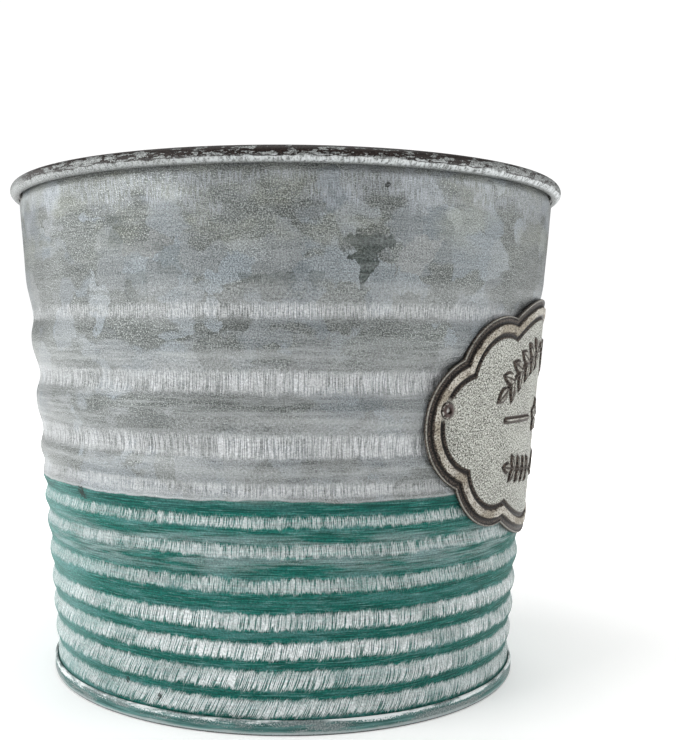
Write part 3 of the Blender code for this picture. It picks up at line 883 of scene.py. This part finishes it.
def plaque_outline(inset):
    """The eight-lobed outline moved inwards by an inset, as an array of flat points."""
    (wide, low), (narrow, high) = OUTER_NOTCH, INNER_NOTCH
    upper = [(-wide, low), (-narrow, high), (narrow, high), (wide, low)]
    notches = [Vector(point) for point in upper + [(-x, -y) for x, y in upper]]
    bulges = [CORNER_BULGE, CENTRE_BULGE, CORNER_BULGE, SIDE_BULGE] * 2
    circles = []
    for index, bulge in enumerate(bulges):
        centre, radius = circle_through(notches[index], notches[(index + 1) % 8], bulge)
        circles.append((centre, radius - inset))
    corners = [meeting_point(circles[i - 1], circles[i], notches[i]) for i in range(8)]
    points = []
    for index, (centre, radius) in enumerate(circles):
        start = corners[index] - centre
        end = corners[(index + 1) % 8] - centre
        first = math.atan2(start.y, start.x)
        sweep = wrap(math.atan2(end.y, end.x) - first)
        steps = LOBE_STEPS[index % 4]
        angles = first + sweep * np.arange(steps) / steps
        points.append(circle_points(centre, radius, angles))
    return np.vstack(points)


def on_wall(flat, proud):
    """Flat plaque points wrapped on to the crest cone, standing proud of it."""
    angle = flat[:, 0] / crest_radius(PLAQUE_HEIGHT)
    z = PLAQUE_HEIGHT + flat[:, 1]
    radius = crest_radius(z) + GAP + proud
    return np.stack([radius * np.sin(angle), -radius * np.cos(angle), z], 1)


def border_profile(inset):
    """Height, paint in the recesses, raised share and bright edge of the border at an inset."""

    def ease(low, high):
        return smooth(inset, low * MM, high * MM)

    def line(middle, width):
        return peak(inset, middle * MM, width * MM)

    bevel = ease(-0.3, 0.35) * 0.85 * MM
    recess = ease(0.45, 1.0) * 0.35 * MM
    band = ease(2.2, 3.0) * 0.85 * MM
    fall = ease(4.9, 5.75) * 0.95 * MM
    panel = ease(6.2, 7.1) * 0.50 * MM
    height = bevel - recess + band - fall + panel
    dark = ease(3.2, 2.3) * (1.0 - 0.8 * line(0.3, 0.16))
    groove = ease(4.7, 5.9) * ease(7.7, 6.6)
    crease = line(2.2, 0.45) + line(6.1, 0.45)
    crease += 0.8 * line(0.75, 0.25)
    rise = ease(2.4, 3.0) * ease(5.8, 5.1)
    bright = 0.55 * line(0.3, 0.14)
    return height, np.maximum(dark, groove) + 0.5 * crease, rise, bright


class Ornament:
    """Raised decoration of the plaque's panel, worked out over its flat points."""

    def __init__(self, flat):
        self.x, self.y = flat[:, 0], flat[:, 1]
        self.outside = np.full(len(flat), 1.0)
        self.carve = np.zeros(len(flat))

    def join(self, distance):
        """Adds a shape by its distance outside it, negative within."""
        self.outside = np.minimum(self.outside, distance)

    def leaf(self, x, y, angle, length, width):
        """A pointed leaf from its stalk, with a carved midrib."""
        along = (self.x - x) * math.cos(angle) + (self.y - y) * math.sin(angle)
        across = (self.y - y) * math.cos(angle) - (self.x - x) * math.sin(angle)
        share = np.clip(along / length, 0.0, 1.0)
        half = width * 0.5 * np.sin(math.pi * share ** 0.8) ** 0.9
        beyond = np.maximum(np.maximum(-along, along - length), 0.0)
        within = (np.abs(across) < half) & (beyond == 0.0)
        self.join(np.hypot(np.abs(across) - half, beyond) * np.where(within, -1.0, 1.0))
        rib = peak(across, 0.0, 0.28 * MM) * smooth(half, 0.0, 0.8 * MM)
        self.carve = np.maximum(self.carve, rib * (beyond == 0.0))

    def disc(self, x, y, radius):
        self.join(np.hypot(self.x - x, self.y - y) - radius)

    def bar(self, start, end, height, half):
        """A straight level bar with round ends."""
        near = np.clip(self.x, start, end)
        self.join(np.hypot(self.x - near, self.y - height) - half)

    def spray(self, points, leaf_length, leaf_width, stalk):
        """A stalk along the points with a pair of leaves at each and one at its tip."""
        for (ax, ay), (bx, by) in zip(points, points[1:]):
            run = np.array([bx - ax, by - ay])
            share = np.clip(((self.x - ax) * run[0] + (self.y - ay) * run[1]) / (run @ run), 0.0, 1.0)
            self.join(np.hypot(self.x - ax - share * run[0], self.y - ay - share * run[1]) - stalk)
            heading = math.atan2(run[1], run[0])
            for side in (-1.0, 1.0):
                x, y = ax + run[0] * 0.35, ay + run[1] * 0.35
                self.leaf(x, y, heading + side * 0.85, leaf_length, leaf_width)
        self.leaf(bx, by, heading, leaf_length, leaf_width)


def garland(middle, half_width, ends_drop, count):
    """Points of half a garland, from near the plaque's middle out to the side of half_width's sign."""
    shares = np.linspace(0.10, 1.0, count)
    return [(half_width * share, middle - ends_drop * share ** 2) for share in shares]


def decorate(flat):
    """Leaf garlands above and below, and a small flower between two bars."""
    made = Ornament(flat)
    centre = 0.3 * MM
    for side in (-1.0, 1.0):
        upper = garland(22.5 * MM, side * 31.0 * MM, 12.0 * MM, 6)
        lower = garland(-17.5 * MM, side * 24.5 * MM, -1.8 * MM, 5)
        made.spray(upper, 7.4 * MM, 3.9 * MM, 0.5 * MM)
        made.spray(lower, 5.9 * MM, 3.3 * MM, 0.45 * MM)
        start, end = sorted((side * 10.5 * MM, side * 31.0 * MM))
        made.bar(start, end, centre, 0.75 * MM)
    for petal in range(5):
        angle = math.pi * (0.5 + 0.4 * petal)
        x, y = 1.2 * MM * math.cos(angle), 1.2 * MM * math.sin(angle) + centre
        made.leaf(x, y, angle, 5.2 * MM, 4.0 * MM)
    made.disc(0.0, centre, 1.5 * MM)
    made.disc(0.0, 24.5 * MM, 1.3 * MM)
    made.disc(0.0, -18.5 * MM, 1.1 * MM)

    def edge(low, high):
        return smooth(made.outside, low * MM, high * MM)

    top = edge(0.12, -0.38)
    height = 0.62 * MM * top * (1.0 - 0.45 * made.carve)
    ring = edge(0.75, 0.2) * edge(-0.75, -0.25)
    grime = 0.20 * edge(4.5, 0.4)
    ink = np.maximum(np.maximum(0.95 * ring, grime), top * (0.30 + 0.6 * made.carve))
    return height, ink


def rivet_place(side):
    """Angle and height at which a rivet's axis meets the crest cone."""
    low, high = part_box("rivet_stem_" + side)
    middle = (low + high) / 2
    reach = math.hypot(middle.x, middle.y)
    height = middle.z - TAPER * (float(crest_radius(middle.z)) - reach)
    return math.atan2(middle.x, -middle.y), height


def build_plaque(material):
    """Embossed plate: bevelled edge, raised border, speckled panel and ornament, dimpled at its rivets."""
    insets = np.arange(0.0, PANEL_START, RING_STEP)
    rings = [plaque_outline(inset) for inset in insets]
    panel = plaque_outline(PANEL_START)
    shares = 1.0 - np.arange(0, PANEL_RINGS) / PANEL_RINGS
    rings += [panel * share for share in shares]
    depths = np.concatenate([insets, PANEL_START + (1.0 - shares) * PANEL_DEPTH])
    count = len(panel)
    flat = np.vstack(rings + [np.zeros((1, 2))])
    inset = np.append(np.repeat(depths, count), depths[-1])
    height, ink, rise, bright = border_profile(inset)
    relief, ornament_ink = decorate(flat)
    inside = smooth(inset, 6.9 * MM, 8.2 * MM)
    height = height + relief * inside
    ink = np.maximum(ink, ornament_ink * inside)
    rise = np.maximum(rise, 0.5 * smooth(relief, 0.3 * MM, 0.6 * MM) * inside)
    for side in ("left", "right"):
        angle, z = rivet_place(side)
        off = np.hypot(flat[:, 0] - angle * crest_radius(PLAQUE_HEIGHT), flat[:, 1] - (z - PLAQUE_HEIGHT))
        seat = smooth(off, 3.5 * MM, 2.5 * MM)
        height = height * (1.0 - seat) + RIVET_SEAT * seat
        ink = ink * smooth(off, 2.6 * MM, 4.2 * MM) + 0.55 * smooth(off, 3.6 * MM, 2.6 * MM)
        bright = np.maximum(bright, 0.5 * smooth(off, 2.5 * MM, 2.9 * MM) * smooth(off, 4.2 * MM, 3.2 * MM))
    front = on_wall(flat, height)
    back_shares = np.linspace(1.0, 0.0, 9)[:-1]
    back_flat = np.vstack([rings[0] * share for share in back_shares] + [np.zeros((1, 2))])
    back = on_wall(back_flat, np.zeros(len(back_flat)))
    here = np.arange(count)
    beyond = (here + 1) % count

    def bridge(first, second):
        return np.stack([first + here, first + beyond, second + beyond, second + here], 1).tolist()

    def side_faces(start, ring_count):
        """Faces of one side of the plate, from its outline to its middle point."""
        last = start + (ring_count - 1) * count
        middle = np.full(count, start + ring_count * count)
        made = [bridge(ring, ring + count) for ring in range(start, last, count)]
        return sum(made, []) + np.stack([last + here, last + beyond, middle], 1).tolist()

    start = len(front)
    faces = side_faces(0, len(rings)) + bridge(0, start) + side_faces(start, len(back_shares))
    rest = np.zeros(len(back))
    attributes = {
        "ink": np.concatenate([ink, rest + 1.0]),
        "rise": np.concatenate([rise, rest]),
        "bright_edge": np.concatenate([bright, rest]),
    }
    parts = (np.vstack([front, back]), faces, np.zeros(len(faces), int))
    add_piece("embossed_plaque", parts, [material], ["plaque"], attributes)


def spin(name, profile, rise, place, material, node):
    """A turned piece on a rivet's axis, from points (radius, distance out from the crest cone)."""
    angle, z = place
    radius = float(crest_radius(z))
    origin = Vector((radius * math.sin(angle), -radius * math.cos(angle), z))
    outward = Vector((math.sin(angle), -math.cos(angle), -TAPER)).normalized()
    matrix = np.array(Matrix.Translation(origin) @ outward.to_track_quat("Z", "Y").to_matrix().to_4x4())
    vertices, faces, zones = turn(np.array(profile), even_angles(RIVET_COLUMNS))
    vertices = vertices @ matrix[:3, :3].T + matrix[:3, 3]
    attributes = {"rise": np.tile(rise, RIVET_COLUMNS)}
    add_piece(name, (vertices, faces, zones), [material], [node], attributes)


def build_rivet(side, body_material, stem_material):
    """A set blind rivet with a flattened head and a burst tail, and the stem left in its bore."""
    place = rivet_place(side)
    seat, head, shank, bore, pin = 1.05 * MM, 2.35 * MM, 1.5 * MM, 1.0 * MM, 0.7 * MM
    inside = -(SHEET + GAP)
    ball = inside - 2.2 * MM
    body = [
        (bore, inside - 1.9 * MM), (1.5 * MM, inside - 1.95 * MM), (2.0 * MM, inside - 1.5 * MM),
        (2.1 * MM, inside - 0.9 * MM), (1.9 * MM, inside - 0.15 * MM), (shank, inside), (shank, seat),
        (head - 0.1 * MM, seat), (head, seat + 0.12 * MM),
    ]
    for step in range(1, 7):
        share = step / 6
        radius = head - (head - bore - 0.15 * MM) * share
        body.append((radius, seat + (0.2 + 0.6 * math.sin(share * 1.75)) * MM))
    body.append((bore, seat + 0.62 * MM))
    rise = np.array([0.0] * 8 + [0.8, 0.75, 0.4, 0.15, 0.0, 0.0, 0.3, 0.2])
    spin("rivet_body_" + side, body, rise, place, body_material, "plaque_rivet_" + side)
    stem = [
        (0.0, ball - 1.3 * MM), (0.6 * MM, ball - 1.22 * MM), (1.0 * MM, ball - 0.95 * MM),
        (1.3 * MM, ball - 0.4 * MM), (1.2 * MM, ball), (pin, ball), (pin, seat + 0.05 * MM),
        (0.45 * MM, seat + 0.2 * MM), (0.0, seat + 0.15 * MM),
    ]
    rest = np.zeros(len(stem))
    spin("broken_stem_" + side, stem, rest, place, stem_material, "rivet_stem_" + side)


# ---------------- studio


WHITE = (1.0, 1.0, 1.0, 1.0)
UP = Vector((0.0, 0.0, 1.0))
CAMERA_ANGLE = math.radians(-70.0)
CAMERA_DISTANCE = 0.378
CAMERA_HEIGHT = 0.1162
CAMERA_TILT = -0.0253
CAMERA_ROLL = 0.0052
CAMERA_SENSOR = 36.0
CAMERA_LENS = 48.65
CAMERA_SHIFT = 0.0743

# Softboxes: metres ahead, to the right and up from the bucket as the camera sees it; width, height; watts
SOFTBOXES = [
    ("front_left", -0.50, -0.90, 0.40, 0.7, 0.9, 9.0),
    ("edge_left", 0.35, -1.00, 0.35, 0.6, 0.9, 4.0),
    ("front_right", -0.45, 1.00, 0.40, 0.7, 0.9, 4.8),
    ("edge_right", 0.30, 1.00, 0.35, 0.5, 0.9, 2.2),
    ("overhead", -0.10, 0.00, 1.25, 1.2, 1.2, 9.0),
    ("back_fill", 1.30, 0.00, 0.70, 1.0, 0.8, 5.0),
]


def place_camera():
    """Camera a little above half height, with the plaque turned away to the right."""
    level = Vector((-math.sin(CAMERA_ANGLE), math.cos(CAMERA_ANGLE), 0.0))
    reach = math.cos(CAMERA_TILT)
    ahead = Vector((level.x * reach, level.y * reach, math.sin(CAMERA_TILT)))
    right = ahead.cross(UP).normalized()
    up = right.cross(ahead)
    cosine, sine = math.cos(CAMERA_ROLL), math.sin(CAMERA_ROLL)
    right, up = right * cosine + up * sine, up * cosine - right * sine
    camera = bpy.data.objects.new("camera", bpy.data.cameras.new("camera"))
    turned = Matrix((right, up, -ahead)).transposed().to_4x4()
    place = level * -CAMERA_DISTANCE + UP * CAMERA_HEIGHT
    camera.matrix_world = Matrix.Translation(place) @ turned
    camera.data.sensor_width = CAMERA_SENSOR
    camera.data.lens = CAMERA_LENS
    camera.data.shift_x = CAMERA_SHIFT
    bpy.context.scene.collection.objects.link(camera)
    bpy.context.scene.camera = camera
    return level, level.cross(UP)


def add_softbox(name, place, width, height, power):
    """A rectangular light turned to the middle of the bucket."""
    light = bpy.data.lights.new(name, "AREA")
    light.shape = "RECTANGLE"
    light.size = width
    light.size_y = height
    light.energy = power
    item = bpy.data.objects.new(name, light)
    item.location = place
    item.rotation_mode = "QUATERNION"
    item.rotation_quaternion = (place - UP * (HEIGHT * 0.5)).to_track_quat("Z", "Y")
    bpy.context.scene.collection.objects.link(item)


def build_floor():
    """Plain white sheet under the bucket, glowing more with distance: painted light that leaves it darker
    near the bucket.
    """
    mesh = bpy.data.meshes.new("floor")
    bm = bmesh.new()
    bmesh.ops.create_grid(bm, x_segments=8, y_segments=8, size=6.0)
    bm.to_mesh(mesh)
    bm.free()
    look = Look("white_card")
    soft = look.noise(look.vector(look.x, look.y), 0.35)
    colour = soft.blend(0.3, 0.7, (243, 243, 243), (247, 247, 246))
    # Painted light: the floor glows more with distance, so it stays darker round the bucket.
    glow = look.length(look.x, look.y).ramp(0.10, 0.60, 0.18, 1.0)
    look.shader.inputs["Emission Color"].default_value = WHITE
    look.put(glow, look.shader.inputs["Emission Strength"])
    mesh.materials.append(look.finish(colour, 0.9, 0.0, soft, 0.01 * MM))
    floor = bpy.data.objects.new("floor", mesh)
    bpy.context.scene.collection.objects.link(floor)


def build_studio():
    """White room: bright from the sides and above, dimmer from where the camera stands."""
    ahead, right = place_camera()
    build_floor()
    world = bpy.data.worlds.new("white_room")
    bpy.context.scene.world = world
    world.use_nodes = True
    nodes, links = world.node_tree.nodes, world.node_tree.links
    background = nodes["Background"]
    background.inputs["Color"].default_value = WHITE
    path = nodes.new("ShaderNodeLightPath")
    strength = nodes.new("ShaderNodeMapRange")
    links.new(path.outputs["Is Camera Ray"], strength.inputs["Value"])
    strength.inputs["To Min"].default_value = 0.18
    strength.inputs["To Max"].default_value = 1.05
    links.new(strength.outputs[0], background.inputs["Strength"])
    for name, forward, aside, above, width, height, power in SOFTBOXES:
        add_softbox(name, ahead * forward + right * aside + UP * above, width, height, power)
    bpy.context.scene.view_settings.view_transform = "Standard"


def build_bucket():
    """All nine pieces, with their materials."""
    inside = bare_zinc()
    stem = drawn_steel()
    build_wall(wall_paint(), inside, rim_paint())
    build_rim_wire(stem)
    build_bottom(pan_zinc(), seam_paint())
    build_seal(sealing_compound())
    build_plaque(plaque_paint())
    rivet = rivet_paint()
    for side in ("left", "right"):
        build_rivet(side, rivet, stem)


build_bucket()
build_studio()
